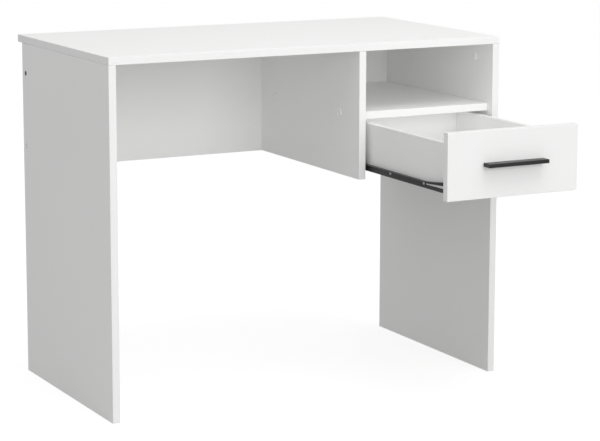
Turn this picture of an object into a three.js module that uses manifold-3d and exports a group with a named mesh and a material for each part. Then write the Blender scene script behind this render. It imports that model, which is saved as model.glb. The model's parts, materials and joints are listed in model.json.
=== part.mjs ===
// White writing desk with an open cubby and one drawer on roller slides.
//
// Millimetres, +Z up. The desk is laid out in its own corner frame (X from the left panel's outer
// face, Y from the front edges, Z from the floor) and the whole group is then shifted so that the
// origin is on the floor, under the middle of the desk with its drawer standing open.

import * as THREE from 'three';
import { mergeVertices } from 'three/addons/utils/BufferGeometryUtils.js';
import Module from 'manifold-3d';

const wasm = await Module();
wasm.setup();

// ---------------------------------------------------------------- overall sizes

const DESK_WIDTH = 920;
const DESK_DEPTH = 510;
const DESK_HEIGHT = 750;
const BOARD = 16; // chipboard of the desk and of the drawer front
const SEAM = 0.2; // hairline between two pieces that butt together
const DRILL_CLEARANCE = 0.3; // air round a fastener in its bore

// ---------------------------------------------------------------- carcass

const REAR_OVERHANG = 25; // desktop behind the side panels
const BACK_RECESS = 12; // back panel in from the rear edges of the side panels
const BAY_WIDTH = 317; // clear width of the cubby and of the drawer bay
const APRON_HEIGHT = 274; // back panel and divider, down from the desktop
const CUBBY_HEIGHT = 132; // clear height over the shelf

// ---------------------------------------------------------------- drawer

const FRONT_GAP = 2; // round the drawer front at the sides and towards the shelf's edge
const FRONT_LIFT = 3; // bottom edge of the drawer front over the divider's bottom edge
const DRAWER_BOARD = 12; // sides and back of the drawer box
const BOTTOM_BOARD = 3; // fibreboard bottom
const GROOVE_DEPTH = 5;
const GROOVE_LIFT = 12; // groove for the bottom, over the lower edge of the sides
const BOX_TOP_CLEARANCE = 8; // drawer sides under the shelf
const BOX_REAR_CLEARANCE = 14; // closed drawer box in front of the back panel

// ---------------------------------------------------------------- roller slides

const SLIDE_SPACE = 12.5; // between the bay's wall and the drawer box
const STEEL = 1.2; // sheet of the rails
const RAIL_LIFT = 12; // rails over the bottom edge of the drawer front
const RAIL_HEIGHT = 16; // drawer rail
const RAIL_SHORTFALL = 25; // drawer rail shorter than the drawer box
const RAIL_FRONT_GAP = 1; // drawer rail behind the drawer front
const RAIL_FOOT = 10; // flange under the drawer side
const REST_OVERLAP = 75; // rails still overlapping with the drawer drawn out as shown
const FORK_LENGTH = 80; // split front end of the drawer rail
const FORK_RISE = 8.4; // upper arm of the fork, bent up
const FORK_ARM = 9.4; // lower arm of the fork, straight
const FORK_GAP = 6.6; // mouth of the fork
const FORK_SLIT = 2.4; // inner end of the fork's mouth
const CABINET_LIP = 4.6; // top lip of the cabinet rail
const LIP_SETBACK = 92; // the lip starts behind the fork of the closed drawer
const LIP_CLEARANCE = 1; // between the drawer rail's track and the lip
const ROLLER_RADIUS = 6.5;
const ROLLER_SIDE_GAP = 1; // between a roller and the web that carries its axle
const RIVET_ROOM = 1.7; // between a rivet's head and the other rail's web
const SCREW_HEAD_ROOM = 1.6; // between the cabinet rail's floor and the drawer rail's web
const TRACK_ROOM = 0.6; // between the drawer rail's track and the cabinet rail's web
const ROLLER_INSET = 12; // roller's axle from the rail's end
const RUNNING_GAP = 0.2; // between a roller and its tracks
const AXLE_RADIUS = 2.5;
const AXLE_PLAY = 0.1; // radial clearance of the roller's bore
const RIVET_HEAD_RADIUS = 4;
const RIVET_HEAD = 0.8;

// ---------------------------------------------------------------- handle

const HANDLE_LENGTH = 144;
const HANDLE_HEIGHT = 8;
const HANDLE_PROJECTION = 23;
const HANDLE_BAR_DEPTH = 9;
const HANDLE_POST_WIDTH = 8;
const HANDLE_TOP = 2; // web that closes the gap between bar and drawer front from above
const HANDLE_SCREW_RADIUS = 2;
const HANDLE_SCREW_HEAD = 2;
const HANDLE_SCREW_GRIP = 10; // thread inside the handle's post

// ---------------------------------------------------------------- fasteners

const CAM_RADIUS = 7.5;
const CAM_DEPTH = 12.5;
const DRAWER_CAM_DEPTH = 9.5;
const CAM_SETBACK = 34; // cam's centre from the board's end
const CAM_EDGE_DISTANCE = 72; // cams from the front and rear edges of the side panels
const BOLT_RADIUS = 3;
const BOLT_THREAD = 11; // thread sunk in the neighbouring board
const BOLT_HEAD_RADIUS = 3.5;
const BOLT_HEAD = 3;
const BOLT_NECK_RADIUS = 2.5;
const CONFIRMAT_LENGTH = 50;
const CONFIRMAT_HEAD_RADIUS = 5;
const CONFIRMAT_HEAD = 3;
const CONFIRMAT_SHANK_RADIUS = 3.5;
const CONFIRMAT_CORE_RADIUS = 2.6;
const SHELF_SCREW_EDGE = 66; // shelf's fasteners from its front and rear edges
const BACK_SCREW_TOP = 65; // back panel's fasteners, down from the desktop
const BACK_SCREW_BOTTOM = 49; // and up from its lower edge
const CAP_RADIUS = 8;
const CAP_THICKNESS = 3;
const RAIL_SCREW_HEAD_RADIUS = 3.2;
const RAIL_SCREW_HEAD = 1.2;
const RAIL_SCREW_RADIUS = 1.6;
const RAIL_SCREW_LENGTH = 10;
const DRAWER_RAIL_SCREWS = [88, 223]; // from the drawer rail's front end
const DRAWER_SCREW_DROP = 6; // under the drawer rail's upper edge
const CABINET_RAIL_SCREWS = [110, 300]; // from the cabinet rail's front end

// ---------------------------------------------------------------- places that follow from the sizes

const topUnderside = DESK_HEIGHT - BOARD;
const sideDepth = DESK_DEPTH - REAR_OVERHANG;
const backFront = sideDepth - BACK_RECESS - BOARD; // front face of the back panel
const bayRight = DESK_WIDTH - BOARD;
const bayLeft = bayRight - BAY_WIDTH;
const apronBottom = topUnderside - APRON_HEIGHT;
const shelfTop = topUnderside - CUBBY_HEIGHT;
const shelfUnderside = shelfTop - BOARD;
const bayFront = BOARD + FRONT_GAP; // shelf edge and cabinet rails, behind the closed drawer front

const frontBottom = apronBottom + FRONT_LIFT;
const railBottom = frontBottom + RAIL_LIFT;
const boxLength = backFront - BOX_REAR_CLEARANCE - BOARD - SEAM;
const boxFront = BOARD + SEAM;
const boxRear = boxFront + boxLength;
const boxBottom = railBottom + STEEL + SEAM;
const boxTop = shelfUnderside - BOX_TOP_CLEARANCE;
const boxLeft = bayLeft + SLIDE_SPACE;
const boxRight = bayRight - SLIDE_SPACE;
const bottomZ = boxBottom + GROOVE_LIFT; // underside of the fibreboard bottom

const railLength = boxLength - RAIL_SHORTFALL;
const drawerRailFront = boxFront + RAIL_FRONT_GAP;
const drawerOpening = railLength - REST_OVERLAP; // how far the drawer stands out
const trackUnderside = railBottom + RAIL_HEIGHT - STEEL;
const rollerZ = trackUnderside - RUNNING_GAP - ROLLER_RADIUS;
const cabinetFloor = rollerZ - ROLLER_RADIUS - RUNNING_GAP; // upper face of the cabinet rail's flange
const drawerScrewZ = railBottom + RAIL_HEIGHT - DRAWER_SCREW_DROP;

// Across a slide, counted from the bay's wall towards the drawer box.
const cabinetWeb = SEAM + STEEL; // inner face of the cabinet rail
const drawerWebFar = SLIDE_SPACE - SEAM; // drawer rail's face towards the drawer side
const drawerWebNear = drawerWebFar - STEEL;
const rollerWidth = drawerWebNear - cabinetWeb - ROLLER_SIDE_GAP - SEAM - RIVET_HEAD - RIVET_ROOM;

// ---------------------------------------------------------------- materials

const FINISHES = {
  laminate: { color: 0xf1f1f0, roughness: 0.5, metalness: 0 },
  fibreboard: { color: 0xe9e8e5, roughness: 0.65, metalness: 0 },
  blackSteel: { color: 0x2b2b2c, roughness: 0.45, metalness: 0.5 },
  blackHandle: { color: 0x232324, roughness: 0.4, metalness: 0.4 },
  nylon: { color: 0xe4e3de, roughness: 0.45, metalness: 0 },
  zinc: { color: 0xb9bbbd, roughness: 0.35, metalness: 1 },
  cap: { color: 0xf3f3f2, roughness: 0.3, metalness: 0 },
};

// ---------------------------------------------------------------- shape helpers

const SCREW_SEGMENTS = 16; // facets round a screw, an axle or their bores
const DISC_SEGMENTS = 24; // and round a cam, a roller or a cap
const WELD = 1e-4;

/** Closed box between two corners, each axis given as a pair in either order. */
function block(spanX, spanY, spanZ) {
  const spans = [spanX, spanY, spanZ];
  const sizes = spans.map(([a, b]) => Math.abs(b - a));
  const centre = spans.map(([a, b]) => (a + b) / 2);
  return new THREE.BoxGeometry(...sizes).translate(...centre);
}

/** Turns a geometry made along +Y so that it runs along the given direction from a start point. */
function aim(geometry, direction, start) {
  const turn = new THREE.Quaternion().setFromUnitVectors(new THREE.Vector3(0, 1, 0), direction);
  return geometry.applyQuaternion(turn).translate(...start);
}

/**
 * Turned piece: steps of [radius, length] laid end to end along a direction. The clearance makes
 * the matching bore, wider all round, past the last step and open behind the first one.
 */
function turned(steps, direction, start, clearance = 0, segments = SCREW_SEGMENTS) {
  const profile = [];
  let along = clearance > 0 ? -1 : 0;
  let reached = 0;
  profile.push(new THREE.Vector2(0, along));
  for (const [radius, length] of steps) {
    profile.push(new THREE.Vector2(radius + clearance, along));
    reached += length;
    along = reached + clearance;
    profile.push(new THREE.Vector2(radius + clearance, along));
  }
  profile.push(new THREE.Vector2(0, along));
  return aim(new THREE.LatheGeometry(profile, segments), direction, start);
}

/** Outline drawn in Y and Z, given thickness along X. */
function plateAcrossX(outline, spanX) {
  const shape = new THREE.Shape(outline.map(([y, z]) => new THREE.Vector2(y, z)));
  const thickness = Math.abs(spanX[1] - spanX[0]);
  const plate = new THREE.ExtrudeGeometry(shape, { depth: thickness, bevelEnabled: false });
  const permute = new THREE.Matrix4().makeBasis(Y, Z, X);
  return plate.applyMatrix4(permute).translate(Math.min(...spanX), 0, 0);
}

/** Solid for boolean work from a closed geometry. */
function toSolid(geometry) {
  const bare = geometry.clone();
  bare.deleteAttribute('normal');
  bare.deleteAttribute('uv');
  const merged = mergeVertices(bare, WELD);
  const vertProperties = new Float32Array(merged.attributes.position.array);
  const triVerts = new Uint32Array(merged.index.array);
  return new wasm.Manifold(new wasm.Mesh({ numProp: 3, vertProperties, triVerts }));
}

function toGeometry(solid) {
  const mesh = solid.getMesh();
  const geometry = new THREE.BufferGeometry();
  geometry.setAttribute('position', new THREE.BufferAttribute(mesh.vertProperties, 3));
  geometry.setIndex(new THREE.BufferAttribute(mesh.triVerts, 1));
  geometry.computeVertexNormals();
  return geometry;
}

function cut(geometry, tools) {
  let solid = toSolid(geometry);
  for (const tool of tools) {
    solid = solid.subtract(toSolid(tool));
  }
  return toGeometry(solid);
}

function join(geometries) {
  const [first, ...others] = geometries.map(toSolid);
  return toGeometry(others.reduce((whole, next) => whole.add(next), first));
}

const X = new THREE.Vector3(1, 0, 0);
const Y = new THREE.Vector3(0, 1, 0);
const Z = new THREE.Vector3(0, 0, 1);
const back = (axis) => axis.clone().negate();

// ---------------------------------------------------------------- the desk's scene graph

const desk = new THREE.Group();
const carcass = new THREE.Group();
const drawer = new THREE.Group();
drawer.position.y = -drawerOpening;
desk.add(carcass, drawer);

function addPiece(group, name, geometry, finish) {
  const piece = new THREE.Mesh(geometry, new THREE.MeshStandardMaterial(FINISHES[finish]));
  piece.name = name;
  group.add(piece);
}

// ---------------------------------------------------------------- fasteners

const CONFIRMAT_STEPS = [
  [CONFIRMAT_HEAD_RADIUS, CONFIRMAT_HEAD],
  [CONFIRMAT_SHANK_RADIUS, BOARD - CONFIRMAT_HEAD],
  [CONFIRMAT_CORE_RADIUS, CONFIRMAT_LENGTH - BOARD],
];
const confirmatBores = [];

/** Confirmat screw, its head sunk flush in the face it starts from. */
function addConfirmat(name, direction, start) {
  addPiece(carcass, name, turned(CONFIRMAT_STEPS, direction, start), 'zinc');
  confirmatBores.push(turned(CONFIRMAT_STEPS, direction, start, DRILL_CLEARANCE));
}

/**
 * Cam lock and its bolt. The cam sits in a board's face; the bolt comes out of the board's end,
 * along boltDirection, into the neighbouring board. Returns the bores that both boards need.
 */
function addCamLock(group, name, centre, faceDirection, boltDirection, depth, setback) {
  const inward = back(faceDirection);
  const boardEnd = new THREE.Vector3(...centre).addScaledVector(boltDirection, setback);
  boardEnd.addScaledVector(inward, depth / 2);
  const headStart = boardEnd.clone().addScaledVector(boltDirection, -setback);
  const boltSteps = [
    [BOLT_HEAD_RADIUS, BOLT_HEAD],
    [BOLT_NECK_RADIUS, setback - BOLT_HEAD],
    [BOLT_RADIUS, BOLT_THREAD],
  ];
  const boltWaySteps = [[BOLT_HEAD_RADIUS, setback + 1]];
  const boltWay = turned(boltWaySteps, boltDirection, headStart, DRILL_CLEARANCE);
  const threadSteps = [[BOLT_RADIUS, BOLT_THREAD]];
  const threadWay = turned(threadSteps, boltDirection, boardEnd, DRILL_CLEARANCE);
  const camSteps = [[CAM_RADIUS, depth]];
  const camBody = turned(camSteps, inward, centre, 0, DISC_SEGMENTS);
  addPiece(group, `${name}_cam`, cut(camBody, [boltWay]), 'zinc');
  addPiece(group, `${name}_bolt`, turned(boltSteps, boltDirection, headStart), 'zinc');
  const camBore = turned(camSteps, inward, centre, DRILL_CLEARANCE, DISC_SEGMENTS);
  return { held: [camBore, boltWay], met: [threadWay] };
}

/** Pan-head screw of a rail, its head standing on the rail's sheet. */
function railScrew(direction, start) {
  const steps = [
    [RAIL_SCREW_HEAD_RADIUS, RAIL_SCREW_HEAD],
    [RAIL_SCREW_RADIUS, RAIL_SCREW_LENGTH],
  ];
  return turned(steps, direction, start);
}

function railScrewBore(direction, start) {
  return turned([[RAIL_SCREW_RADIUS, RAIL_SCREW_LENGTH + STEEL]], direction, start, DRILL_CLEARANCE);
}

// ---------------------------------------------------------------- carcass

const backMiddle = backFront + BOARD / 2;
const shelfMiddle = shelfTop - BOARD / 2;
const dividerMiddle = bayLeft - BOARD / 2;
const camZ = topUnderside - CAM_SETBACK;
const boards = {
  desktop: block([0, DESK_WIDTH], [0, DESK_DEPTH], [topUnderside, DESK_HEIGHT]),
  left_side_panel: block([0, BOARD], [0, sideDepth], [0, topUnderside - SEAM]),
  right_side_panel: block([bayRight, DESK_WIDTH], [0, sideDepth], [0, topUnderside - SEAM]),
  back_panel: block(
    [BOARD + SEAM, bayRight - SEAM],
    [backFront, backFront + BOARD],
    [apronBottom, topUnderside - SEAM]),
  divider_panel: block(
    [bayLeft - BOARD, bayLeft],
    [0, backFront - SEAM],
    [apronBottom, topUnderside - SEAM]),
  shelf: block(
    [bayLeft + SEAM, bayRight - SEAM],
    [bayFront, backFront - SEAM],
    [shelfUnderside, shelfTop]),
};
const bores = Object.fromEntries(Object.keys(boards).map((name) => [name, []]));

function addDesktopLock(panel, name, x, y, faceDirection) {
  const { held, met } = addCamLock(
    carcass, name, [x, y, camZ], faceDirection, Z, CAM_DEPTH, CAM_SETBACK);
  bores[panel].push(...held);
  bores.desktop.push(...met);
}

for (const [place, y] of [['front', CAM_EDGE_DISTANCE], ['rear', sideDepth - CAM_EDGE_DISTANCE]]) {
  addDesktopLock('left_side_panel', `left_${place}_top`, BOARD, y, X);
  addDesktopLock('right_side_panel', `right_${place}_top`, bayRight, y, back(X));
}
addDesktopLock('divider_panel', 'divider_top', bayLeft, backFront / 2, X);

const shelfScrewPlaces = [
  ['front', bayFront + SHELF_SCREW_EDGE],
  ['rear', backFront - SHELF_SCREW_EDGE],
];
for (const [place, y] of shelfScrewPlaces) {
  addConfirmat(`shelf_left_${place}_screw`, X, [bayLeft - BOARD, y, shelfMiddle]);
  addConfirmat(`shelf_right_${place}_screw`, back(X), [DESK_WIDTH, y, shelfMiddle]);
  const cap = turned(
    [[CAP_RADIUS, CAP_THICKNESS / 2], [CAP_RADIUS - CAP_THICKNESS / 2, CAP_THICKNESS / 2]],
    back(X), [bayLeft - BOARD - SEAM, y, shelfMiddle], 0, DISC_SEGMENTS);
  addPiece(carcass, `shelf_${place}_screw_cap`, cap, 'cap');
}
const backScrewPlaces = [
  ['upper', topUnderside - BACK_SCREW_TOP],
  ['lower', apronBottom + BACK_SCREW_BOTTOM],
];
for (const [place, z] of backScrewPlaces) {
  addConfirmat(`back_left_${place}_screw`, X, [0, backMiddle, z]);
  addConfirmat(`back_right_${place}_screw`, back(X), [DESK_WIDTH, backMiddle, z]);
  addConfirmat(`back_divider_${place}_screw`, back(Y), [dividerMiddle, backFront + BOARD, z]);
}
const screwedBoards = ['left_side_panel', 'right_side_panel', 'back_panel', 'divider_panel', 'shelf'];
for (const name of screwedBoards) {
  bores[name].push(...confirmatBores);
}

// ---------------------------------------------------------------- drawer box and front

const drawerBores = { front: [], left: [], right: [] };
const frontLeft = bayLeft + FRONT_GAP;
const frontRight = bayRight - FRONT_GAP;
const sideMiddleZ = (boxBottom + boxTop) / 2;
const grooveHeight = [bottomZ - SEAM, bottomZ + BOTTOM_BOARD + SEAM];
const grooveSpanX = [
  boxLeft + DRAWER_BOARD - GROOVE_DEPTH,
  boxRight - DRAWER_BOARD + GROOVE_DEPTH,
];
const groove = block(grooveSpanX, [BOARD - GROOVE_DEPTH, boxRear + 1], grooveHeight);

for (const [side, x, face] of [
  ['left', boxLeft + DRAWER_BOARD, X],
  ['right', boxRight - DRAWER_BOARD, back(X)],
]) {
  const centre = [x, boxFront + CAM_SETBACK, sideMiddleZ];
  const { held, met } = addCamLock(
    drawer, `drawer_${side}_front`, centre, face, back(Y), DRAWER_CAM_DEPTH, CAM_SETBACK);
  drawerBores[side].push(...held);
  drawerBores.front.push(...met);
}

const handleX = (frontLeft + frontRight) / 2;
const handleZ = (frontBottom + shelfTop) / 2;
const handleScrewSpread = (HANDLE_LENGTH - HANDLE_POST_WIDTH) / 2;
const handleScrewSteps = [
  [2 * HANDLE_SCREW_RADIUS, HANDLE_SCREW_HEAD],
  [HANDLE_SCREW_RADIUS, BOARD + HANDLE_SCREW_GRIP],
];
const handleScrewBores = [];
for (const [side, sign] of [['left', -1], ['right', 1]]) {
  const x = handleX + sign * handleScrewSpread;
  const start = [x, BOARD + HANDLE_SCREW_HEAD + SEAM, handleZ];
  addPiece(drawer, `handle_screw_${side}`, turned(handleScrewSteps, back(Y), start), 'zinc');
  const boreSteps = [[HANDLE_SCREW_RADIUS, BOARD + HANDLE_SCREW_GRIP]];
  handleScrewBores.push(turned(boreSteps, back(Y), [x, BOARD, handleZ], DRILL_CLEARANCE));
}

/** Square bar with a post at each end and a thin top, hollow underneath for the fingers. */
function handleBlank() {
  const half = HANDLE_LENGTH / 2;
  const inner = half - HANDLE_POST_WIDTH;
  const barRear = HANDLE_BAR_DEPTH - HANDLE_PROJECTION;
  const bottom = handleZ - HANDLE_HEIGHT / 2;
  const top = handleZ + HANDLE_HEIGHT / 2;
  const outside = block([handleX - half, handleX + half], [-HANDLE_PROJECTION, -SEAM], [bottom, top]);
  const hollow = block(
    [handleX - inner, handleX + inner], [barRear, BOARD], [bottom - BOARD, top - HANDLE_TOP]);
  return cut(outside, [hollow]);
}
addPiece(drawer, 'handle', cut(handleBlank(), handleScrewBores), 'blackHandle');

const drawerFront = block([frontLeft, frontRight], [0, BOARD], [frontBottom, shelfTop]);
addPiece(
  drawer, 'drawer_front',
  cut(drawerFront, [...drawerBores.front, ...handleScrewBores, groove]), 'laminate');
addPiece(
  drawer, 'drawer_back',
  block(
    [boxLeft + DRAWER_BOARD + SEAM, boxRight - DRAWER_BOARD - SEAM],
    [boxRear - DRAWER_BOARD, boxRear],
    [bottomZ + BOTTOM_BOARD + SEAM, boxTop]),
  'laminate');
addPiece(
  drawer, 'drawer_bottom',
  block(
    [grooveSpanX[0] + DRILL_CLEARANCE, grooveSpanX[1] - DRILL_CLEARANCE],
    [BOARD - GROOVE_DEPTH + DRILL_CLEARANCE, boxRear],
    [bottomZ, bottomZ + BOTTOM_BOARD]),
  'fibreboard');

// ---------------------------------------------------------------- roller slides

/** Drawer rail seen from the side: straight web, and a front end split into two arms. */
function drawerRailOutline() {
  const front = drawerRailFront;
  const apex = front + FORK_LENGTH;
  const top = railBottom + RAIL_HEIGHT;
  const armTop = railBottom + FORK_ARM;
  return [
    [front, railBottom],
    [front + railLength, railBottom],
    [front + railLength, top],
    [apex, top],
    [front, top + FORK_RISE],
    [front, armTop + FORK_GAP],
    [apex, armTop + FORK_SLIT / 2],
    [apex, armTop - FORK_SLIT / 2],
    [front, armTop],
  ];
}

/** The same rail's track: a flange along its top edge that follows the bend. */
function trackOutline() {
  const front = drawerRailFront;
  const apex = front + FORK_LENGTH;
  const top = railBottom + RAIL_HEIGHT;
  return [
    [front, top + FORK_RISE - STEEL],
    [apex, top - STEEL],
    [front + railLength, top - STEEL],
    [front + railLength, top],
    [apex, top],
    [front, top + FORK_RISE],
  ];
}

/** Roller with a plain bore, lying along X. */
function rollerOn(spanX, y) {
  const start = [Math.min(...spanX), y, rollerZ];
  const body = turned([[ROLLER_RADIUS, rollerWidth]], X, start, 0, DISC_SEGMENTS);
  const bore = turned([[AXLE_RADIUS, rollerWidth + 1]], X, start, AXLE_PLAY);
  return cut(body, [bore]);
}

/** One slide. The wall is the bay's side, and inward points from it towards the drawer box. */
function addSlide(side, wall, inward, wallPanel) {
  const at = (u) => wall + inward.x * u;
  const span = (from, to) => [at(from), at(to)];
  const cabinetRoller = [cabinetWeb + ROLLER_SIDE_GAP, cabinetWeb + ROLLER_SIDE_GAP + rollerWidth];
  const drawerRoller = [
    drawerWebNear - ROLLER_SIDE_GAP - rollerWidth,
    drawerWebNear - ROLLER_SIDE_GAP,
  ];
  const cabinetRollerY = bayFront + ROLLER_INSET;
  const drawerRollerY = drawerRailFront + railLength - ROLLER_INSET;

  // Cabinet rail: web on the wall, floor flange, and a top lip behind the fork of the closed drawer.
  const lipBottom = railBottom + RAIL_HEIGHT + LIP_CLEARANCE;
  const cabinetY = [bayFront, bayFront + railLength];
  const cabinetBlank = join([
    block(span(SEAM, cabinetWeb), cabinetY, [cabinetFloor - STEEL, lipBottom + STEEL]),
    block(
      span(SEAM, drawerWebNear - SCREW_HEAD_ROOM), cabinetY, [cabinetFloor - STEEL, cabinetFloor]),
    block(
      span(SEAM, cabinetWeb + CABINET_LIP),
      [bayFront + LIP_SETBACK, cabinetY[1]],
      [lipBottom, lipBottom + STEEL]),
  ]);
  const cabinetAxleSteps = [
    [AXLE_RADIUS, cabinetRoller[1]],
    [RIVET_HEAD_RADIUS, RIVET_HEAD],
  ];
  const cabinetAxleStart = [at(SEAM), cabinetRollerY, rollerZ];
  const cabinetAxle = turned(cabinetAxleSteps, inward, cabinetAxleStart);
  addPiece(carcass, `${side}_cabinet_roller_axle`, cabinetAxle, 'zinc');
  const axleHole = turned(
    [[AXLE_RADIUS, 2 * STEEL]], inward, [at(0), cabinetRollerY, rollerZ], AXLE_PLAY);
  const cabinetScrewHoles = CABINET_RAIL_SCREWS.map((distance) => {
    const y = bayFront + distance;
    return railScrewBore(back(inward), [at(cabinetWeb), y, rollerZ]);
  });
  const cabinetRail = cut(cabinetBlank, [axleHole, ...cabinetScrewHoles]);
  addPiece(carcass, `${side}_cabinet_rail`, cabinetRail, 'blackSteel');
  bores[wallPanel].push(...cabinetScrewHoles);
  CABINET_RAIL_SCREWS.forEach((distance, index) => {
    const start = [at(cabinetWeb + RAIL_SCREW_HEAD + SEAM / 2), bayFront + distance, rollerZ];
    addPiece(
      carcass, `${side}_cabinet_rail_screw_${index + 1}`, railScrew(back(inward), start), 'zinc');
  });
  const cabinetRollerSolid = rollerOn(span(...cabinetRoller), cabinetRollerY);
  addPiece(carcass, `${side}_cabinet_roller`, cabinetRollerSolid, 'nylon');

  // Drawer rail: forked web, foot under the drawer side, and the track on top.
  const drawerBlank = join([
    plateAcrossX(drawerRailOutline(), span(drawerWebNear, drawerWebFar)),
    plateAcrossX(trackOutline(), span(cabinetWeb + TRACK_ROOM, drawerWebFar)),
    block(
      span(drawerWebNear, drawerWebFar + RAIL_FOOT),
      [drawerRailFront, drawerRailFront + railLength],
      [railBottom, railBottom + STEEL]),
  ]);
  const drawerAxleHole = turned(
    [[AXLE_RADIUS, 2 * STEEL]], inward, [at(drawerWebNear), drawerRollerY, rollerZ], AXLE_PLAY);
  const drawerScrewHoles = DRAWER_RAIL_SCREWS.map((distance) => {
    const y = drawerRailFront + distance;
    return railScrewBore(inward, [at(drawerWebNear), y, drawerScrewZ]);
  });
  const drawerRail = cut(drawerBlank, [drawerAxleHole, ...drawerScrewHoles]);
  addPiece(drawer, `${side}_drawer_rail`, drawerRail, 'blackSteel');
  DRAWER_RAIL_SCREWS.forEach((distance, index) => {
    const headTop = drawerWebNear - RAIL_SCREW_HEAD - SEAM / 2;
    const start = [at(headTop), drawerRailFront + distance, drawerScrewZ];
    addPiece(drawer, `${side}_drawer_rail_screw_${index + 1}`, railScrew(inward, start), 'zinc');
  });
  const drawerAxleSteps = [
    [AXLE_RADIUS, drawerWebFar - drawerRoller[0] + SEAM],
    [RIVET_HEAD_RADIUS, RIVET_HEAD],
  ];
  const drawerAxleStart = [at(drawerWebFar), drawerRollerY, rollerZ];
  const drawerAxle = turned(drawerAxleSteps, back(inward), drawerAxleStart);
  addPiece(drawer, `${side}_drawer_roller_axle`, drawerAxle, 'zinc');
  addPiece(drawer, `${side}_drawer_roller`, rollerOn(span(...drawerRoller), drawerRollerY), 'nylon');

  // Drawer side: grooved for the bottom, bored for the cam and for the rail's screws.
  const sideX = span(SLIDE_SPACE, SLIDE_SPACE + DRAWER_BOARD);
  const sideBlank = block(sideX, [boxFront, boxRear], [boxBottom, boxTop]);
  addPiece(
    drawer, `drawer_${side}_side`,
    cut(sideBlank, [groove, ...drawerBores[side], ...drawerScrewHoles]), 'laminate');
}

addSlide('left', bayLeft, X, 'divider_panel');
addSlide('right', bayRight, back(X), 'right_side_panel');

for (const [name, board] of Object.entries(boards)) {
  addPiece(carcass, name, cut(board, bores[name]), 'laminate');
}

// ---------------------------------------------------------------- the frame's origin

const frontmost = -drawerOpening - HANDLE_PROJECTION;
desk.position.set(-DESK_WIDTH / 2, -(frontmost + DESK_DEPTH) / 2, 0);

export default desk;
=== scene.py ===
import json
import math

import bmesh
import bpy
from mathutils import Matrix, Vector

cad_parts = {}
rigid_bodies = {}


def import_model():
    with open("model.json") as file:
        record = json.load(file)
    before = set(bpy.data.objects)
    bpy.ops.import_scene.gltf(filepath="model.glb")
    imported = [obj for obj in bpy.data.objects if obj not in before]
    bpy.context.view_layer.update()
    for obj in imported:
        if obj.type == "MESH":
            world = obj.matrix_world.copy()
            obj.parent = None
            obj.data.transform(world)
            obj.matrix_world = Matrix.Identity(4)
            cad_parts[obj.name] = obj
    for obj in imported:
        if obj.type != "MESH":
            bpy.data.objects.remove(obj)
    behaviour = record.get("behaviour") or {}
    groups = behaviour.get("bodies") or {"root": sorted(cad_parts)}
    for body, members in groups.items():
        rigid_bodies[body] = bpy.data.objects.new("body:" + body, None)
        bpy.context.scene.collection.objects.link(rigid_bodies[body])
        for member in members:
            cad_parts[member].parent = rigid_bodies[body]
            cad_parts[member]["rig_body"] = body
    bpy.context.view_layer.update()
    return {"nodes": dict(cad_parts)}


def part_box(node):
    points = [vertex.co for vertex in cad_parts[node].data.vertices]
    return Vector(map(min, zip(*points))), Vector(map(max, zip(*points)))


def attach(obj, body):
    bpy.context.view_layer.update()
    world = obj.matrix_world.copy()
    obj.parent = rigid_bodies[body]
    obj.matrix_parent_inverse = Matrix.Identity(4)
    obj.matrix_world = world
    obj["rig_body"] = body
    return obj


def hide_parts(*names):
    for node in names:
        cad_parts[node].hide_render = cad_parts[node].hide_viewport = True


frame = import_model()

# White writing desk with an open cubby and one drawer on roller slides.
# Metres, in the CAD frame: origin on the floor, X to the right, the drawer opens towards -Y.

MM = 0.001

# ---------------------------------------------------------------- sizes of the finer shapes

ARRIS = 0.7 * MM  # rounding of the boards' edge bands
ARRIS_STEPS = 3
ROUND_PROFILE = 0.5  # a bevel's setting for a circular arc
BOTTOM_ARRIS = 0.3 * MM  # of the thin drawer bottom
HANDLE_ARRIS = 0.6 * MM
HANDLE_BORE_EDGE = 3 * MM  # no edge of the handle's bores is longer
HANDLE_CORNER = math.radians(60)  # the handle's longer edges, where sharper than this, are eased
WELD = 0.01 * MM
ONE_FACE = math.radians(1)  # faces that meet at less than this become one flat face
SQUARE_ON = 0.999  # a normal with a component this large runs along that axis
SHARP = math.radians(35)  # edges sharper than this stay crisp when shaded

STEEL = 1.2 * MM  # sheet of the rails
BEND = 1.4 * MM  # radius of a fold, at the middle of the sheet
BEND_STEPS = 5
SHEET_ARRIS = 0.2 * MM
SHEET_ARRIS_STEPS = 2
SHEET_CORNER = math.radians(50)  # the sheet's edges sharper than this are eased
LIP_WIDTH = 4.6 * MM  # top lip of a cabinet rail, beyond its web
LIP_SETBACK = 92 * MM  # behind the rail's front end
LIP_RAMP = 6 * MM  # over which the lip folds out
FORK_LENGTH = 80 * MM  # split front end of a drawer rail
FORK_RISE = 8.4 * MM
FORK_GAP = 6.6 * MM
FORK_ARM = 9.4 * MM
FORK_SLIT = 2.4 * MM  # inner end of the mouth
FORK_END = 1.5 * MM  # over which the mouth closes
FORK_EASE = 1.15  # 1 bends up at once, more bends up gently
FORK_STEPS = 8
FOOT_WIDTH = 10 * MM  # of a drawer rail, under the drawer side
RAIL_HEIGHT = 16 * MM  # of a drawer rail behind its fork

SPOKES = 48  # points round a turned piece and round the floor
DOME_STEPS = 5
TIP_RADIUS = 0.2 * MM  # smallest ring of a dome or a dish
NEARLY_ZERO = 1e-6  # keeps the outline of a cross from dividing by zero

ROLLER_ROUNDING = 0.7 * MM
ROLLER_ROUNDING_MIDDLE = 0.3  # share of the rounding, from either face, at its middle ring
ROLLER_RECESS = 0.6 * MM
ROLLER_RECESS_SLOPE = 0.3 * MM  # over which the recess gets its depth
ROLLER_RIM = 1.4 * MM
ROLLER_HUB_RADIUS = 3.9 * MM
AXLE_BORE_RADIUS = 2.6 * MM
RIVET_SHANK_RADIUS = 2.5 * MM
RIVET_HEAD = 0.8 * MM
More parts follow.
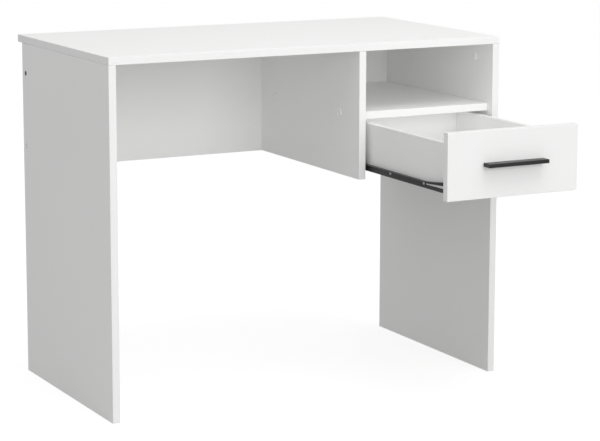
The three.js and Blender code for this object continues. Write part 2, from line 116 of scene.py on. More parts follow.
# along a rivet's head, as a share of its length, and how far inside its widest ring
RIVET_DOME = [(0, 0.2 * MM), (0.2, 0), (0.5, 0.3 * MM), (0.85, 1.1 * MM)]
RIVET_TOP_INSET = 2.0 * MM
RIVET_DIMPLE_RADIUS = 1.3 * MM
RIVET_DIMPLE = 0.4 * MM

RAIL_SCREW_HEAD = 1.2 * MM
RAIL_SCREW_SHANK_RADIUS = 1.6 * MM
HANDLE_SCREW_HEAD = 2 * MM
HANDLE_SCREW_SHANK_RADIUS = 2 * MM
# a pan head's rings, as shares of its length and of its radius
PAN_HEAD = [(0, 0.62), (0.12, 0.8), (0.4, 0.95), (0.75, 1), (1, 1)]
CROSS_DEPTH = 0.6  # of a cross recess, as a share of the head's length
CROSS_ARM = 0.55  # this and the next three are shares of the head's radius
CROSS_HALF_WIDTH = 0.16
CROSS_FLOOR_ARM = 0.3
CROSS_FLOOR_HALF_WIDTH = 0.12
SCREW_TIP_RADIUS = 0.3 * MM

SOCKET_DEPTH = 2.6 * MM  # hexagon socket of a connecting screw
SOCKET_RADIUS = 2.0 * MM  # from its middle to a flat
SOCKET_FLOOR_RADIUS = 1.9 * MM
SOCKET_CHAMFER = 0.15 * MM  # under the head's face
SOCKET_CHAMFER_RADIUS = 2.7 * MM
CONFIRMAT_PLAY = 0.1 * MM  # a connecting screw's head is this much inside its CAD shape
CONFIRMAT_EDGE_INSET = 0.5 * MM  # bevel round the head's face
CONFIRMAT_EDGE = 0.3 * MM
CONFIRMAT_HEAD = 1.0 * MM  # from here the head tapers to the collar
CONFIRMAT_TAPER_END = 3.0 * MM
CONFIRMAT_COLLAR_RADIUS = 3.5 * MM
CONFIRMAT_COLLAR_END = 16.0 * MM
CONFIRMAT_THREAD_START = 16.6 * MM
CONFIRMAT_THREAD_RADIUS = 2.6 * MM
CONFIRMAT_THREAD_END_RADIUS = 2.5 * MM
CONFIRMAT_POINT = 3.0 * MM
CONFIRMAT_TIP_RADIUS = 0.8 * MM

SEAT_GAP = 0.05 * MM  # keeps a cover, a plug or a screw's face off the face it would share
CAM_COVER_RADIUS = 8.4 * MM
CAM_COVER_HEIGHT = 2.8 * MM
CAP_RIM = 0.5 * MM  # upright rim of a domed cover
CAP_RIM_WIDTH = 1.2 * MM  # rim round the dish of a screw cap
CAP_ROUNDING = 0.4 * MM
CAP_DISH = 1.8 * MM  # the dish under its rim
PLUG_DEPTH = 0.8 * MM  # cover plug over a sunk screw head
PLUG_PLAY = 0.1 * MM  # round the plug and under it
PLUG_CHAMFER = 0.2 * MM
PLUG_FACE_INSET = 0.6 * MM
SCREW_SUNK = 3 * MM  # an uncovered screw head under the board's face

# ---------------------------------------------------------------- camera, floor and light

CAMERA_PLACE = (-2.0942, -3.9873, 1.2279)
CAMERA_DOWN = 0.1662  # under the horizon, in radians
CAMERA_ROLL = -0.002
CAMERA_TURN = -0.4856  # from looking along +Y, in radians
CAMERA_LENS = 128.5  # focal length in millimetres
CAMERA_SENSOR = 36
CAMERA_SHIFT = -0.08

FLOOR_RADIUS = 40
FLOOR_DROP = 0.2 * MM  # under the desk's feet
FLOOR_ALBEDO = 0.35
FLOOR_ROUGHNESS = 0.9
FLOOR_SPECULAR = 0.1
FLOOR_GLOW = 0.1  # as the desk receives it
FLOOR_GLOW_SEEN = 0.75  # as the camera sees it
SKY_LIGHT = 0.655
SOFTBOXES = {
    "top_softbox": {
        "place_at": (0.3, -1.2, 3.3), "aim_at": (0, 0, 0.7), "width": 2.6, "height": 2.0, "power": 34,
    },
    "front_softbox": {
        "place_at": (0.6, -9.2, 2.5), "aim_at": (0.1, 0, 0.6), "width": 4.8, "height": 4.6, "power": 262,
    },
    "side_softbox": {
        "place_at": (-6.4, -5.4, 1.9), "aim_at": (0, 0, 0.6), "width": 3.6, "height": 3.6, "power": 38,
    },
}
LIGHT_BOUNCES = 12  # between white boards, light goes round many times


# ---------------------------------------------------------------- node helpers for materials

NOISE_LOW = 0.3  # nearly all values of a noise lie between these two
NOISE_HIGH = 0.7


def new_material(name, roughness, metallic=0.0, specular=0.5):
    material = bpy.data.materials.new(name)
    material.use_nodes = True
    shader = material.node_tree.nodes["Principled BSDF"]
    shader.inputs["Roughness"].default_value = roughness
    shader.inputs["Metallic"].default_value = metallic
    shader.inputs["Specular IOR Level"].default_value = specular
    return material, material.node_tree, shader


def place(tree, stretch=(1, 1, 1)):
    """The point on the piece, in metres, closer together along an axis with a larger stretch."""
    coordinates = tree.nodes.new("ShaderNodeTexCoord")
    mapping = tree.nodes.new("ShaderNodeMapping")
    mapping.inputs["Scale"].default_value = stretch
    tree.links.new(coordinates.outputs["Object"], mapping.inputs["Vector"])
    return mapping.outputs["Vector"]


def noise(tree, where, per_metre, detail):
    texture = tree.nodes.new("ShaderNodeTexNoise")
    texture.inputs["Scale"].default_value = per_metre
    texture.inputs["Detail"].default_value = detail
    tree.links.new(where, texture.inputs["Vector"])
    return texture.outputs["Fac"]


def spread(tree, value, low, high):
    """A noise value turned into a number between low and high."""
    mapped = tree.nodes.new("ShaderNodeMapRange")
    mapped.inputs["From Min"].default_value = NOISE_LOW
    mapped.inputs["From Max"].default_value = NOISE_HIGH
    mapped.inputs["To Min"].default_value = low
    mapped.inputs["To Max"].default_value = high
    tree.links.new(value, mapped.inputs["Value"])
    return mapped.outputs["Result"]


def tones(tree, value, low, high):
    """A noise value turned into a colour, from the one where it is low to the one where it is high."""
    ramp = tree.nodes.new("ShaderNodeValToRGB")
    ramp.color_ramp.elements[0].position = NOISE_LOW
    ramp.color_ramp.elements[0].color = (*low, 1)
    ramp.color_ramp.elements[1].position = NOISE_HIGH
    ramp.color_ramp.elements[1].color = (*high, 1)
    tree.links.new(value, ramp.inputs["Fac"])
    return ramp.outputs["Color"]


def mixed(tree, first, second, share):
    """Two colours mixed, with this share of the second."""
    mix = tree.nodes.new("ShaderNodeMix")
    mix.data_type = "RGBA"
    mix.inputs["Factor"].default_value = share
    tree.links.new(first, mix.inputs["A"])
    tree.links.new(second, mix.inputs["B"])
    return mix.outputs["Result"]


def relief(tree, shader, height, depth, strength):
    bump = tree.nodes.new("ShaderNodeBump")
    bump.inputs["Strength"].default_value = strength
    bump.inputs["Distance"].default_value = depth
    tree.links.new(height, bump.inputs["Height"])
    tree.links.new(bump.outputs["Normal"], shader.inputs["Normal"])


# ---------------------------------------------------------------- materials

def laminate():
    """Melamine foil: pearl grain of about a millimetre under a broad, faint clouding."""
    material, tree, shader = new_material("white_laminate_face", roughness=0.48)
    where = place(tree)
    grain = noise(tree, where, per_metre=1100, detail=3)
    clouds = noise(tree, where, per_metre=5, detail=2)
    fine = tones(tree, grain, low=(0.895, 0.895, 0.89), high=(0.925, 0.925, 0.92))
    broad = tones(tree, clouds, low=(0.902, 0.902, 0.896), high=(0.918, 0.918, 0.914))
    tree.links.new(mixed(tree, fine, broad, share=0.5), shader.inputs["Base Color"])
    tree.links.new(spread(tree, grain, low=0.44, high=0.54), shader.inputs["Roughness"])
    relief(tree, shader, grain, depth=0.03 * MM, strength=0.6)
    return material


def edge_band():
    """Edge band: smoother than the foil, with faint streaks along the board's edge."""
    material, tree, shader = new_material("white_laminate_band", roughness=0.4)
    streaks = noise(tree, place(tree, stretch=(1, 1, 12)), per_metre=260, detail=2)
    speckle = noise(tree, place(tree), per_metre=1800, detail=2)
    streaked = tones(tree, streaks, low=(0.88, 0.88, 0.876), high=(0.904, 0.904, 0.9))
    speckled = tones(tree, speckle, low=(0.884, 0.884, 0.88), high=(0.902, 0.902, 0.898))
    tree.links.new(mixed(tree, streaked, speckled, share=0.5), shader.inputs["Base Color"])
    tree.links.new(spread(tree, streaks, low=0.36, high=0.44), shader.inputs["Roughness"])
    relief(tree, shader, speckle, depth=0.012 * MM, strength=0.5)
    return material


def chipboard():
    """Raw core of a board, seen only inside open bores: pressed chips in brown tones."""
    material, tree, shader = new_material("chipboard_core", roughness=0.85, specular=0.2)
    chips = tree.nodes.new("ShaderNodeTexVoronoi")
    chips.inputs["Scale"].default_value = 700
    tree.links.new(place(tree, stretch=(1, 1, 2.5)), chips.inputs["Vector"])
    dust = noise(tree, place(tree), per_metre=1500, detail=3)
    pressed = tones(tree, chips.outputs["Distance"], low=(0.3, 0.21, 0.13), high=(0.12, 0.08, 0.05))
    dusty = tones(tree, dust, low=(0.14, 0.1, 0.06), high=(0.34, 0.26, 0.17))
    tree.links.new(mixed(tree, pressed, dusty, share=0.4), shader.inputs["Base Color"])
    tree.links.new(spread(tree, dust, low=0.75, high=0.95), shader.inputs["Roughness"])
    relief(tree, shader, chips.outputs["Distance"], depth=0.2 * MM, strength=0.8)
    return material


def fibreboard():
    """Lacquered thin fibreboard: short felted fibres just showing through the paint."""
    material, tree, shader = new_material("white_fibreboard_face", roughness=0.62, specular=0.35)
    fibres = noise(tree, place(tree, stretch=(1, 3, 1)), per_metre=700, detail=4)
    clouds = noise(tree, place(tree), per_metre=14, detail=2)
    felt = tones(tree, fibres, low=(0.85, 0.85, 0.84), high=(0.91, 0.91, 0.9))
    broad = tones(tree, clouds, low=(0.87, 0.87, 0.86), high=(0.895, 0.895, 0.885))
    tree.links.new(mixed(tree, felt, broad, share=0.5), shader.inputs["Base Color"])
    tree.links.new(spread(tree, fibres, low=0.56, high=0.7), shader.inputs["Roughness"])
    relief(tree, shader, fibres, depth=0.04 * MM, strength=0.7)
    return material


def black_steel():
    """Powder coat on rolled sheet: orange peel, and a dusting of paler specks."""
    material, tree, shader = new_material("black_steel_coat", roughness=0.42)
    peel = noise(tree, place(tree), per_metre=650, detail=2)
    specks = noise(tree, place(tree), per_metre=2600, detail=1)
    coat = tones(tree, specks, low=(0.026, 0.026, 0.028), high=(0.046, 0.046, 0.049))
    tree.links.new(coat, shader.inputs["Base Color"])
    tree.links.new(spread(tree, peel, low=0.36, high=0.5), shader.inputs["Roughness"])
    relief(tree, shader, peel, depth=0.05 * MM, strength=0.6)
    return material


def black_handle():
    """Black anodised aluminium, finely brushed along the bar."""
    material, tree, shader = new_material("black_handle_anodised", roughness=0.36, metallic=0.35)
    shader.inputs["Anisotropic"].default_value = 0.5
    brushing = noise(tree, place(tree, stretch=(1, 40, 40)), per_metre=90, detail=3)
    patches = noise(tree, place(tree), per_metre=60, detail=2)
    brushed = tones(tree, brushing, low=(0.018, 0.018, 0.019), high=(0.04, 0.04, 0.042))
    patchy = tones(tree, patches, low=(0.024, 0.024, 0.025), high=(0.032, 0.032, 0.034))
    tree.links.new(mixed(tree, brushed, patchy, share=0.4), shader.inputs["Base Color"])
    tree.links.new(spread(tree, brushing, low=0.3, high=0.44), shader.inputs["Roughness"])
    relief(tree, shader, brushing, depth=0.01 * MM, strength=0.5)
    return material


def nylon():
    """Natural moulded nylon, a little cloudy."""
    material, tree, shader = new_material("white_nylon_moulded", roughness=0.42)
    shader.inputs["Subsurface Weight"].default_value = 0.08
    shader.inputs["Subsurface Radius"].default_value = (1 * MM, 1 * MM, 0.8 * MM)
    clouds = noise(tree, place(tree), per_metre=350, detail=3)
    skin = noise(tree, place(tree), per_metre=2200, detail=2)
    milky = tones(tree, clouds, low=(0.765, 0.765, 0.73), high=(0.825, 0.825, 0.8))
    tree.links.new(milky, shader.inputs["Base Color"])
    tree.links.new(spread(tree, skin, low=0.36, high=0.48), shader.inputs["Roughness"])
    relief(tree, shader, skin, depth=0.015 * MM, strength=0.5)
    return material


def zinc():
    """Bright zinc plating: crystalline patches and fine tooling marks."""
    material, tree, shader = new_material("zinc_plating", roughness=0.32, metallic=1.0)
    crystals = tree.nodes.new("ShaderNodeTexVoronoi")
    crystals.inputs["Scale"].default_value = 900
    tree.links.new(place(tree), crystals.inputs["Vector"])
    marks = noise(tree, place(tree), per_metre=1600, detail=3)
    patches = tones(tree, crystals.outputs["Distance"], low=(0.68, 0.69, 0.71), high=(0.56, 0.57, 0.58))
    dulled = tones(tree, marks, low=(0.55, 0.56, 0.57), high=(0.68, 0.69, 0.7))
    tree.links.new(mixed(tree, patches, dulled, share=0.5), shader.inputs["Base Color"])
    tree.links.new(spread(tree, marks, low=0.24, high=0.42), shader.inputs["Roughness"])
    relief(tree, shader, marks, depth=0.01 * MM, strength=0.4)
    return material


def cap_plastic():
    """Moulded white plastic, glossier than the foil, with a fine spark-eroded skin."""
    material, tree, shader = new_material("white_cap_plastic", roughness=0.28)
    skin = noise(tree, place(tree), per_metre=2400, detail=2)
    clouds = noise(tree, place(tree), per_metre=120, detail=2)
    moulded = tones(tree, skin, low=(0.885, 0.885, 0.877), high=(0.915, 0.915, 0.907))
    broad = tones(tree, clouds, low=(0.89, 0.89, 0.88), high=(0.91, 0.91, 0.9))
    tree.links.new(mixed(tree, moulded, broad, share=0.5), shader.inputs["Base Color"])
    tree.links.new(spread(tree, skin, low=0.22, high=0.34), shader.inputs["Roughness"])
    relief(tree, shader, skin, depth=0.02 * MM, strength=0.5)
    return material


FINISHES = {
    "white_laminate": [laminate(), edge_band(), chipboard()],
    "white_fibreboard": [fibreboard()],
    "black_steel": [black_steel()],
    "black_handle": [black_handle()],
    "white_nylon": [nylon()],
    "zinc": [zinc()],
    "white_cap": [cap_plastic()],
}
FACE, BAND, CORE = 0, 1, 2  # the laminate's materials: foil, edge band, inside of a bore


# ---------------------------------------------------------------- making a piece

def add_piece(name, shape, body, slot, *nodes):
    """Turns a bmesh into a piece that rides on a body and stands for the CAD nodes."""
    bmesh.ops.recalc_face_normals(shape, faces=shape.faces)
    shape.normal_update()
    for edge in shape.edges:
        edge.smooth = edge.calc_face_angle(0) < SHARP
    mesh = bpy.data.meshes.new(name)
    shape.to_mesh(mesh)
    shape.free()
    for material in FINISHES[slot]:
        mesh.materials.append(material)
    piece = bpy.data.objects.new(name, mesh)
    bpy.context.scene.collection.objects.link(piece)
    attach(piece, body)
    if nodes:
        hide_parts(*nodes)
    return piece


def body_of(node):
    return frame["nodes"][node]["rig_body"]


def solid_of(node):
    """The CAD node's solid, welded, with its flat faces whole."""
    data = frame["nodes"][node].data
    shape = bmesh.new()
    corners = [shape.verts.new(vertex.co) for vertex in data.vertices]
    for polygon in data.polygons:
        shape.faces.new([corners[index] for index in polygon.vertices])
    bmesh.ops.remove_doubles(shape, verts=shape.verts, dist=WELD)
    bmesh.ops.dissolve_limit(
        shape, angle_limit=ONE_FACE, verts=shape.verts, edges=shape.edges)
    return shape


def round_edges(shape, edges, radius):
    """Rounds edges; the new faces are shaded smooth and the large flat ones stay flat."""
    bmesh.ops.bevel(
        shape, geom=edges, offset=radius, segments=ARRIS_STEPS, profile=ROUND_PROFILE, affect="EDGES",
        clamp_overlap=False)
    shape.normal_update()
    for face in shape.faces:
        face.smooth = max(abs(component) for component in face.normal) < SQUARE_ON


# ---------------------------------------------------------------- boards

def is_outer_edge(edge, low, high):
    """True where an edge lies along one of the twelve edges of the board's box."""
    first, second = (vertex.co for vertex in edge.verts)
    shared = 0
    for axis in range(3):
        for limit in (low[axis], high[axis]):
            if abs(first[axis] - limit) < WELD and abs(second[axis] - limit) < WELD:
                shared += 1
    return shared == 2


def add_board(node, slot, arris):
    """A board with its bores and its outer edges rounded; laminate gets a band round its edges."""
    low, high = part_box(node)
    size = high - low
    thin = min(range(3), key=lambda axis: size[axis])
    shape = solid_of(node)
    outer = [edge for edge in shape.edges if is_outer_edge(edge, low, high)]
    round_edges(shape, outer, arris)
    if slot == "white_laminate":
        for face in shape.faces:
            face.material_index = layer_of(face, thin, low, high)
    add_piece(f"{node}_fine", shape, body_of(node), slot, node)


def layer_of(face, thin, low, high):
    """Foil on the two large faces, band round the edges, core inside bores and grooves."""
    centre = face.calc_center_median()
    depth = min(min(centre[axis] - low[axis], high[axis] - centre[axis]) for axis in range(3))
    if depth > ARRIS:
        return CORE
    return FACE if abs(face.normal[thin]) > SQUARE_ON else BAND


# ---------------------------------------------------------------- turned pieces

def circle(radius):
    return lambda angle: radius


def hexagon(flat_radius):
    """Outline of a hexagon socket, flat_radius from its middle to a flat."""
    def reach(angle):
        from_flat = angle % (math.pi / 3) - math.pi / 6
        return flat_radius / math.cos(from_flat)
    return reach


def cross(arm, half_width):
    """Outline of a cross recess with four square-ended arms."""
    def reach(angle):
        across = max(abs(math.cos(angle)), NEARLY_ZERO)
        up = max(abs(math.sin(angle)), NEARLY_ZERO)
        return max(min(arm / across, half_width / up), min(half_width / across, arm / up))
    return reach


def turned(rings, start, direction, ring_shaped=False):
    """Skin over rings of (distance along the direction, outline); ring_shaped has a bore."""
    shape = bmesh.new()
    turn = Vector(direction).to_track_quat("Z", "Y")
    loops = []
    for along, outline in rings:
        loop = []
        for spoke in range(SPOKES):
            angle = 2 * math.pi * spoke / SPOKES
            reach = outline(angle)
            local = Vector((reach * math.cos(angle), reach * math.sin(angle), along))
            loop.append(shape.verts.new(Vector(start) + turn @ local))
        loops.append(loop)
    following = loops[1:] + loops[:1] if ring_shaped else loops[1:]
    for near, far in zip(loops, following):
        for spoke in range(SPOKES):
            after = (spoke + 1) % SPOKES
            corners = (near[spoke], near[after], far[after], far[spoke])
            shape.faces.new(corners).smooth = True
    if not ring_shaped:
        shape.faces.new(loops[0])
        shape.faces.new(loops[-1])
    return shape


def dome(radius, height, base):
    """Rings from a dome's rim, at base, up to its tip."""
    rings = []
    for step in range(DOME_STEPS + 1):
        angle = step / DOME_STEPS * math.pi / 2
        ring_radius = max(radius * math.cos(angle), TIP_RADIUS)
        rings.append((base + height * math.sin(angle), circle(ring_radius)))
    return rings


# ---------------------------------------------------------------- camera, floor and light

def add_camera():
    data = bpy.data.cameras.new("camera")
    data.lens = CAMERA_LENS
    data.sensor_width = CAMERA_SENSOR
    data.shift_y = CAMERA_SHIFT
    camera = bpy.data.objects.new("camera", data)
    camera.location = CAMERA_PLACE
    level = math.pi / 2  # an unturned camera looks straight down
    camera.rotation_euler = (level - CAMERA_DOWN, CAMERA_ROLL, CAMERA_TURN)
    bpy.context.scene.collection.objects.link(camera)
    bpy.context.scene.camera = camera


def seen_or_cast(tree, seen, cast):
    """One strength for the camera and another for the light that falls on the desk."""
    camera_ray = tree.nodes.new("ShaderNodeLightPath").outputs["Is Camera Ray"]
    strength = tree.nodes.new("ShaderNodeMapRange")
    strength.inputs["To Min"].default_value = cast
    strength.inputs["To Max"].default_value = seen
    tree.links.new(camera_ray, strength.inputs["Value"])
    return strength.outputs["Result"]


def add_floor():
    shape = bmesh.new()
    bmesh.ops.create_circle(shape, cap_ends=True, radius=FLOOR_RADIUS, segments=SPOKES)
    mesh = bpy.data.meshes.new("floor")
    shape.to_mesh(mesh)
    shape.free()
    material, tree, shader = new_material("pale_floor", FLOOR_ROUGHNESS, specular=FLOOR_SPECULAR)
    shader.inputs["Base Color"].default_value = (FLOOR_ALBEDO, FLOOR_ALBEDO, FLOOR_ALBEDO, 1)
    shader.inputs["Emission Color"].default_value = (1, 1, 1, 1)
    glow = seen_or_cast(tree, FLOOR_GLOW_SEEN, FLOOR_GLOW)
    tree.links.new(glow, shader.inputs["Emission Strength"])
    mesh.materials.append(material)
    floor = bpy.data.objects.new("floor", mesh)
    floor.location.z = -FLOOR_DROP
    bpy.context.scene.collection.objects.link(floor)


def add_softbox(name, place_at, aim_at, width, height, power):
    data = bpy.data.lights.new(name, "AREA")
    data.shape = "RECTANGLE"
    data.size = width
    data.size_y = height
    data.energy = power
    lamp = bpy.data.objects.new(name, data)
    lamp.location = place_at
    direction = Vector(aim_at) - Vector(place_at)
    lamp.rotation_euler = direction.to_track_quat("-Z", "Y").to_euler()
    bpy.context.scene.collection.objects.link(lamp)


def add_sky():
    """White to the camera, and a dimmer even light on everything else."""
    world = bpy.data.worlds.new("studio")
    bpy.context.scene.world = world
    world.use_nodes = True
    tree = world.node_tree
    sky = tree.nodes["Background"]
    sky.inputs["Color"].default_value = (1, 1, 1, 1)
    tree.links.new(seen_or_cast(tree, 1.0, SKY_LIGHT), sky.inputs["Strength"])


add_camera()
add_floor()
add_sky()
for softbox, settings in SOFTBOXES.items():
    add_softbox(softbox, **settings)
bpy.context.scene.view_settings.view_transform = "Standard"
bpy.context.scene.cycles.diffuse_bounces = LIGHT_BOUNCES
bpy.context.scene.cycles.max_bounces = LIGHT_BOUNCES


# ---------------------------------------------------------------- boards of the desk and the drawer

BOARDS = [
    "desktop", "left_side_panel", "right_side_panel", "back_panel", "divider_panel", "shelf",
    "drawer_front", "drawer_left_side", "drawer_right_side", "drawer_back",
]
for board in BOARDS:
    add_board(board, "white_laminate", ARRIS)
add_board("drawer_bottom", "white_fibreboard", BOTTOM_ARRIS)


# ---------------------------------------------------------------- handle

def add_handle():
    """Square bar on two posts, every long edge eased."""
    shape = solid_of("handle")
    shape.normal_update()
    eased = [
        edge for edge in shape.edges
        if edge.calc_length() > HANDLE_BORE_EDGE and edge.calc_face_angle(0) > HANDLE_CORNER
    ]
    round_edges(shape, eased, HANDLE_ARRIS)
    add_piece("handle_fine", shape, body_of("handle"), "black_handle", "handle")


add_handle()


# ---------------------------------------------------------------- rails of the roller slides

def fold(corner, towards_start, towards_end):
    """Points round a bend of the sheet, between two directions that leave the corner."""
    start = corner + towards_start * BEND
    end = corner + towards_end * BEND
    centre = start + end - corner
    points = []
    for step in range(BEND_STEPS + 1):
        angle = step / BEND_STEPS * math.pi / 2
        offset = (start - centre) * math.cos(angle) + (end - centre) * math.sin(angle)
        points.append(centre + offset)
    return points


def add_sheet(name, rows, node, split_column=None, split_rows=0):
    """Folded sheet metal from rows of points; a split leaves the first rows open at a column."""
    shape = bmesh.new()
    grid = [[shape.verts.new(point) for point in row] for row in rows]
    for index, (near, far) in enumerate(zip(grid, grid[1:])):
        for column in range(len(near) - 1):
            if column == split_column and index < split_rows:
                continue
            corners = (near[column], near[column + 1], far[column + 1], far[column])
            shape.faces.new(corners).smooth = True
    bmesh.ops.remove_doubles(shape, verts=shape.verts, dist=WELD)
    piece = add_piece(name, shape, body_of(node), "black_steel", node)
    thicken = piece.modifiers.new("sheet", "SOLIDIFY")
    thicken.thickness = STEEL
    thicken.offset = 0
    thicken.use_even_offset = True
    ease = piece.modifiers.new("arris", "BEVEL")
    ease.width = SHEET_ARRIS
    ease.segments = SHEET_ARRIS_STEPS
    ease.limit_method = "ANGLE"
    ease.angle_limit = SHEET_CORNER
    piece.modifiers.new("shading", "WEIGHTED_NORMAL").keep_sharp = True


SIDEWAYS = Vector((1, 0, 0))
UPWARDS = Vector((0, 0, 1))
SIDES = (("left", 1), ("right", -1))  # with the direction along X into the bay


def add_drawer_rail(side, inward):
    """Foot under the drawer side, web beside it, and the roller's track along the top."""
    node = f"{side}_drawer_rail"
    low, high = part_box(node)
    half = STEEL / 2
    track_x, foot_x = (low.x, high.x) if inward > 0 else (high.x, low.x)
    web_x = foot_x - inward * (FOOT_WIDTH + half)
    across = SIDEWAYS * inward
    bottom = low.z + half
    top = low.z + RAIL_HEIGHT - half
    slit = low.z + FORK_ARM
    straight = low.y + FORK_LENGTH
    stations = [low.y + FORK_LENGTH * step / FORK_STEPS for step in range(FORK_STEPS + 1)]
    stations += [straight + FORK_END, (straight + high.y) / 2, high.y]
    rows = []
    for y in stations:
        share = max(0, (straight - y) / FORK_LENGTH) ** FORK_EASE
        lift = UPWARDS * (FORK_RISE * share)
        half_slit = FORK_SLIT / 2 if y <= straight else 0
        arm_edge = slit - half_slit * (1 - share)
        mouth_edge = slit + half_slit * (1 - share) + FORK_GAP * share
        foot = [Vector((foot_x, y, bottom))]
        foot += fold(Vector((web_x, y, bottom)), across, UPWARDS)
        foot += [Vector((web_x, y, arm_edge))]
        track = [Vector((web_x, y, mouth_edge))]
        track += [point + lift for point in fold(Vector((web_x, y, top)), -UPWARDS, -across)]
        track += [Vector((track_x, y, top)) + lift]
        rows.append(foot + track)
    split_column = len(foot) - 1
    add_sheet(f"{node}_fine", rows, node, split_column, FORK_STEPS + 1)


def add_cabinet_rail(side, inward):
    """Web on the bay's wall, floor flange, and a top lip that folds out behind the fork."""
    node = f"{side}_cabinet_rail"
    low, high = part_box(node)
    half = STEEL / 2
    wall_x, flange_x = (low.x, high.x) if inward > 0 else (high.x, low.x)
    web_x = wall_x + inward * half
    lip_x = wall_x + inward * (STEEL + LIP_WIDTH)
    across = SIDEWAYS * inward
    bottom = low.z + half
    top = high.z - half
    lip_start = low.y + LIP_SETBACK
    # places along the rail, and whether the lip is folded out there
    stations = [(low.y, 0), (lip_start, 0), (lip_start + LIP_RAMP, 1)]
    stations += [((lip_start + high.y) / 2, 1), (high.y, 1)]
    rows = []
    for y, folded in stations:
        row = [Vector((flange_x, y, bottom))]
        row += fold(Vector((web_x, y, bottom)), across, UPWARDS)
        lip = fold(Vector((web_x, y, top)), -UPWARDS, across) + [Vector((lip_x, y, top))]
        for step, point in enumerate(lip):
            climb = (step + 1) / len(lip)
            upright = Vector((web_x, y, top - BEND + climb * (BEND + half)))
            row.append(upright.lerp(point, folded))
        rows.append(row)
    add_sheet(f"{node}_fine", rows, node)


for side, inward in SIDES:
    add_drawer_rail(side, inward)
    add_cabinet_rail(side, inward)


# ---------------------------------------------------------------- rollers and rivets

def lengthways(node, direction):
    """Start point, length and radius of a turned CAD node that runs along a direction."""
    low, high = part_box(node)
    axis = max(range(3), key=lambda k: abs(direction[k]))
    middle = (low + high) / 2
    start = middle.copy()
    start[axis] = low[axis] if direction[axis] > 0 else high[axis]
    size = high - low
    length = size[axis]
    radius = size[(axis + 1) % 3] / 2
    return start, length, radius


def add_roller(node, direction):
    """Moulded wheel: rounded tread, a hub, and a shallow recess in each side."""
    start, width, radius = lengthways(node, direction)
    rim = radius - ROLLER_RIM
    middle = ROLLER_ROUNDING_MIDDLE * ROLLER_ROUNDING
    half_profile = [
        (0, AXLE_BORE_RADIUS),
        (0, ROLLER_HUB_RADIUS),
        (ROLLER_RECESS, ROLLER_HUB_RADIUS + ROLLER_RECESS_SLOPE),
        (ROLLER_RECESS, rim - ROLLER_RECESS_SLOPE),
        (0, rim),
        (0, radius - ROLLER_ROUNDING),
        (middle, radius - middle),
        (ROLLER_ROUNDING, radius),
    ]
    rings = [(along, circle(reach)) for along, reach in half_profile]
    rings += [(width - along, circle(reach)) for along, reach in reversed(half_profile)]
    shape = turned(rings, start, direction, ring_shaped=True)
    add_piece(f"{node}_fine", shape, body_of(node), "white_nylon", node)


def add_rivet(node, direction):
    """Axle riveted in the rail's web: shank, and a low domed head with a centre dimple."""
    start, length, head_radius = lengthways(node, direction)
    neck = length - RIVET_HEAD
    rings = [(0, circle(RIVET_SHANK_RADIUS)), (neck, circle(RIVET_SHANK_RADIUS))]
    rings += [(neck + share * RIVET_HEAD, circle(head_radius - inset)) for share, inset in RIVET_DOME]
    rings += [
        (length, circle(head_radius - RIVET_TOP_INSET)),
        (length, circle(RIVET_DIMPLE_RADIUS)),
        (length - RIVET_DIMPLE, circle(RIVET_DIMPLE_RADIUS / 2)),
    ]
    shape = turned(rings, start, direction)
    add_piece(f"{node}_fine", shape, body_of(node), "zinc", node)


for side, inward in SIDES:
    add_roller(f"{side}_cabinet_roller", (inward, 0, 0))
    add_roller(f"{side}_drawer_roller", (inward, 0, 0))
    add_rivet(f"{side}_cabinet_roller_axle", (inward, 0, 0))
    add_rivet(f"{side}_drawer_roller_axle", (-inward, 0, 0))


# ---------------------------------------------------------------- screws

def add_pan_screw(node, direction, head_length, shank_radius):
    """Pan-head screw with a cross recess; the direction runs from the head to the point."""
    start, length, head_radius = lengthways(node, direction)
    recess = cross(CROSS_ARM * head_radius, CROSS_HALF_WIDTH * head_radius)
    recess_floor = cross(CROSS_FLOOR_ARM * head_radius, CROSS_FLOOR_HALF_WIDTH * head_radius)
    point_length = 2 * shank_radius
    rings = [(CROSS_DEPTH * head_length, recess_floor), (0, recess)]
    rings += [(along * head_length, circle(out * head_radius)) for along, out in PAN_HEAD]
    rings += [
        (head_length, circle(shank_radius)),
        (length - point_length, circle(shank_radius)),
        (length, circle(SCREW_TIP_RADIUS)),
    ]
    shape = turned(rings, start, direction)
    add_piece(f"{node}_fine", shape, body_of(node), "zinc", node)


for side, inward in SIDES:
    for number in (1, 2):
        for rail, direction in (("cabinet", (-inward, 0, 0)), ("drawer", (inward, 0, 0))):
            screw = f"{side}_{rail}_rail_screw_{number}"
            add_pan_screw(screw, direction, RAIL_SCREW_HEAD, RAIL_SCREW_SHANK_RADIUS)
    add_pan_screw(f"handle_screw_{side}", (0, -1, 0), HANDLE_SCREW_HEAD, HANDLE_SCREW_SHANK_RADIUS)


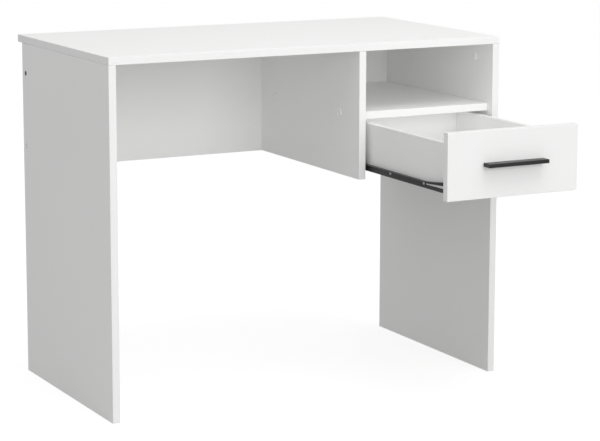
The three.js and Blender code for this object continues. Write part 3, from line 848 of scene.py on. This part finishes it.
def add_confirmat(node, direction, sunk):
    """Connecting screw with a hexagon socket, its head sunk under the board's face."""
    start, length, head_radius = lengthways(node, direction)
    start = start + Vector(direction) * sunk
    tip = length - sunk
    rings = [
        (SOCKET_DEPTH, hexagon(SOCKET_FLOOR_RADIUS)),
        (SOCKET_CHAMFER, hexagon(SOCKET_RADIUS)),
        (SEAT_GAP, circle(SOCKET_CHAMFER_RADIUS)),
        (SEAT_GAP, circle(head_radius - CONFIRMAT_EDGE_INSET)),
        (CONFIRMAT_EDGE, circle(head_radius - CONFIRMAT_PLAY)),
        (CONFIRMAT_HEAD, circle(head_radius - CONFIRMAT_PLAY)),
        (CONFIRMAT_TAPER_END, circle(CONFIRMAT_COLLAR_RADIUS)),
        (CONFIRMAT_COLLAR_END, circle(CONFIRMAT_COLLAR_RADIUS)),
        (CONFIRMAT_THREAD_START, circle(CONFIRMAT_THREAD_RADIUS)),
        (tip - CONFIRMAT_POINT, circle(CONFIRMAT_THREAD_END_RADIUS)),
        (tip, circle(CONFIRMAT_TIP_RADIUS)),
    ]
    shape = turned(rings, start, direction)
    add_piece(f"{node}_fine", shape, body_of(node), "zinc", node)


for place_name in ("upper", "lower"):
    add_confirmat(f"back_right_{place_name}_screw", (-1, 0, 0), SCREW_SUNK)
    add_confirmat(f"back_divider_{place_name}_screw", (0, -1, 0), SCREW_SUNK)
add_confirmat("back_left_upper_screw", (1, 0, 0), SCREW_SUNK)
add_confirmat("back_left_lower_screw", (1, 0, 0), PLUG_DEPTH)
for place_name in ("front", "rear"):
    add_confirmat(f"shelf_left_{place_name}_screw", (1, 0, 0), PLUG_DEPTH)
    add_confirmat(f"shelf_right_{place_name}_screw", (-1, 0, 0), SCREW_SUNK)


# ---------------------------------------------------------------- cover caps

def add_dished_cap(node, direction):
    """Push-in cap with a rounded rim round a shallow dish."""
    seat, height, radius = lengthways(node, direction)
    dish_radius = radius - CAP_RIM_WIDTH
    rings = [
        (0, circle(radius)),
        (height - CAP_ROUNDING, circle(radius)),
        (height, circle(radius - CAP_ROUNDING)),
        (height, circle(dish_radius + CAP_ROUNDING)),
        (height - CAP_ROUNDING, circle(dish_radius)),
        (height - CAP_DISH, circle(dish_radius - CAP_ROUNDING)),
        (height - CAP_DISH, circle(TIP_RADIUS)),
    ]
    shape = turned(rings, seat, direction)
    add_piece(f"{node}_fine", shape, body_of(node), "white_cap", node)


for place_name in ("front", "rear"):
    add_dished_cap(f"shelf_{place_name}_screw_cap", (-1, 0, 0))


def add_cover(name, seat, direction, body):
    """Low domed cover, snapped over a cam lock."""
    rings = [(0, circle(CAM_COVER_RADIUS))]
    rings += dome(CAM_COVER_RADIUS, CAM_COVER_HEIGHT - CAP_RIM, CAP_RIM)
    shape = turned(rings, seat, direction)
    add_piece(name, shape, body, "white_cap")


CAM_FACES = {
    "left_front_top": (1, 0, 0),
    "left_rear_top": (1, 0, 0),
    "right_front_top": (-1, 0, 0),
    "right_rear_top": (-1, 0, 0),
    "divider_top": (1, 0, 0),
    "drawer_left_front": (1, 0, 0),
    "drawer_right_front": (-1, 0, 0),
}
for lock, facing in CAM_FACES.items():
    cam = f"{lock}_cam"
    far_end, depth, _ = lengthways(cam, facing)
    seat = far_end + Vector(facing) * (depth + SEAT_GAP)
    add_cover(f"{lock}_cover", seat, facing, body_of(cam))


def add_screw_plug(node, direction):
    """Flush plastic plug over the head of a sunk screw."""
    start, _, bore_radius = lengthways(node, direction)
    start = start + Vector(direction) * SEAT_GAP
    rings = [
        (0, circle(bore_radius - PLUG_FACE_INSET)),
        (PLUG_CHAMFER, circle(bore_radius - PLUG_PLAY)),
        (PLUG_DEPTH - PLUG_PLAY, circle(bore_radius - PLUG_PLAY)),
    ]
    shape = turned(rings, start, direction)
    add_piece(f"{node}_plug", shape, body_of(node), "white_cap")


add_screw_plug("back_left_lower_screw", (1, 0, 0))


# ---------------------------------------------------------------- CAD pieces that stay

for lock in CAM_FACES:
    for piece in (f"{lock}_cam", f"{lock}_bolt"):
        frame["nodes"][piece].material_slots[0].material = FINISHES["zinc"][0]
